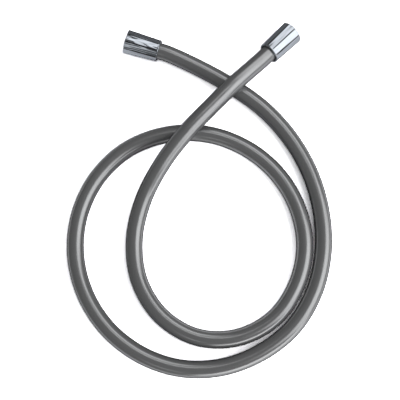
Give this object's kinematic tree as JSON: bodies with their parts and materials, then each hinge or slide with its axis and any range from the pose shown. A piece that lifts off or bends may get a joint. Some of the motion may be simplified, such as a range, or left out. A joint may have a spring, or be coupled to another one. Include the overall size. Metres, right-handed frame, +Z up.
{
  "type": "shower hose",
  "caption": "Smooth round flexible hose lying in loose overlapping loops, with a tapered, flat-sided chrome swivel nut for a pipe thread at each end.",
  "frame": {"origin": "on the table under the middle of the lying hose's box", "axes": "+Z up from the table; +Y from the far side of the loops towards the two nuts; +X from the outlet end towards the handset end"},
  "size_m": [0.2456, 0.3343, 0.0334],
  "materials": {
    "hose_wall": "satin metallic grey PVC with a fine transverse texture",
    "chrome_nut": "mirror chrome plate on brass",
    "brass_insert": "turned brass",
    "steel_ferrule": "drawn stainless steel sleeve, crimped",
    "washer_rubber": "matt black rubber"
  },
  "bodies": {
    "hose_assembly": {"hose": "hose_wall", "outlet_hose_tail": "brass_insert", "outlet_ferrule": "steel_ferrule", "outlet_seal_washer": "washer_rubber", "handset_hose_tail": "brass_insert", "handset_ferrule": "steel_ferrule", "handset_seal_washer": "washer_rubber"},
    "outlet_nut": {"outlet_swivel_nut": "chrome_nut"},
    "handset_nut": {"handset_swivel_nut": "chrome_nut"}
  },
  "joints": [
    {"name": "outlet_nut_swivel", "type": "hinge", "parent": "hose_assembly", "child": "outlet_nut", "pos_m": [-0.0575, 0.1462, 0.01115], "axis": [-0.9579, 0.2856, 0.0293], "continuous": true},
    {"name": "handset_nut_swivel", "type": "hinge", "parent": "hose_assembly", "child": "handset_nut", "pos_m": [0.079, 0.1495, 0.01397], "axis": [0.689, 0.7036, -0.1736], "continuous": true}
  ]
}
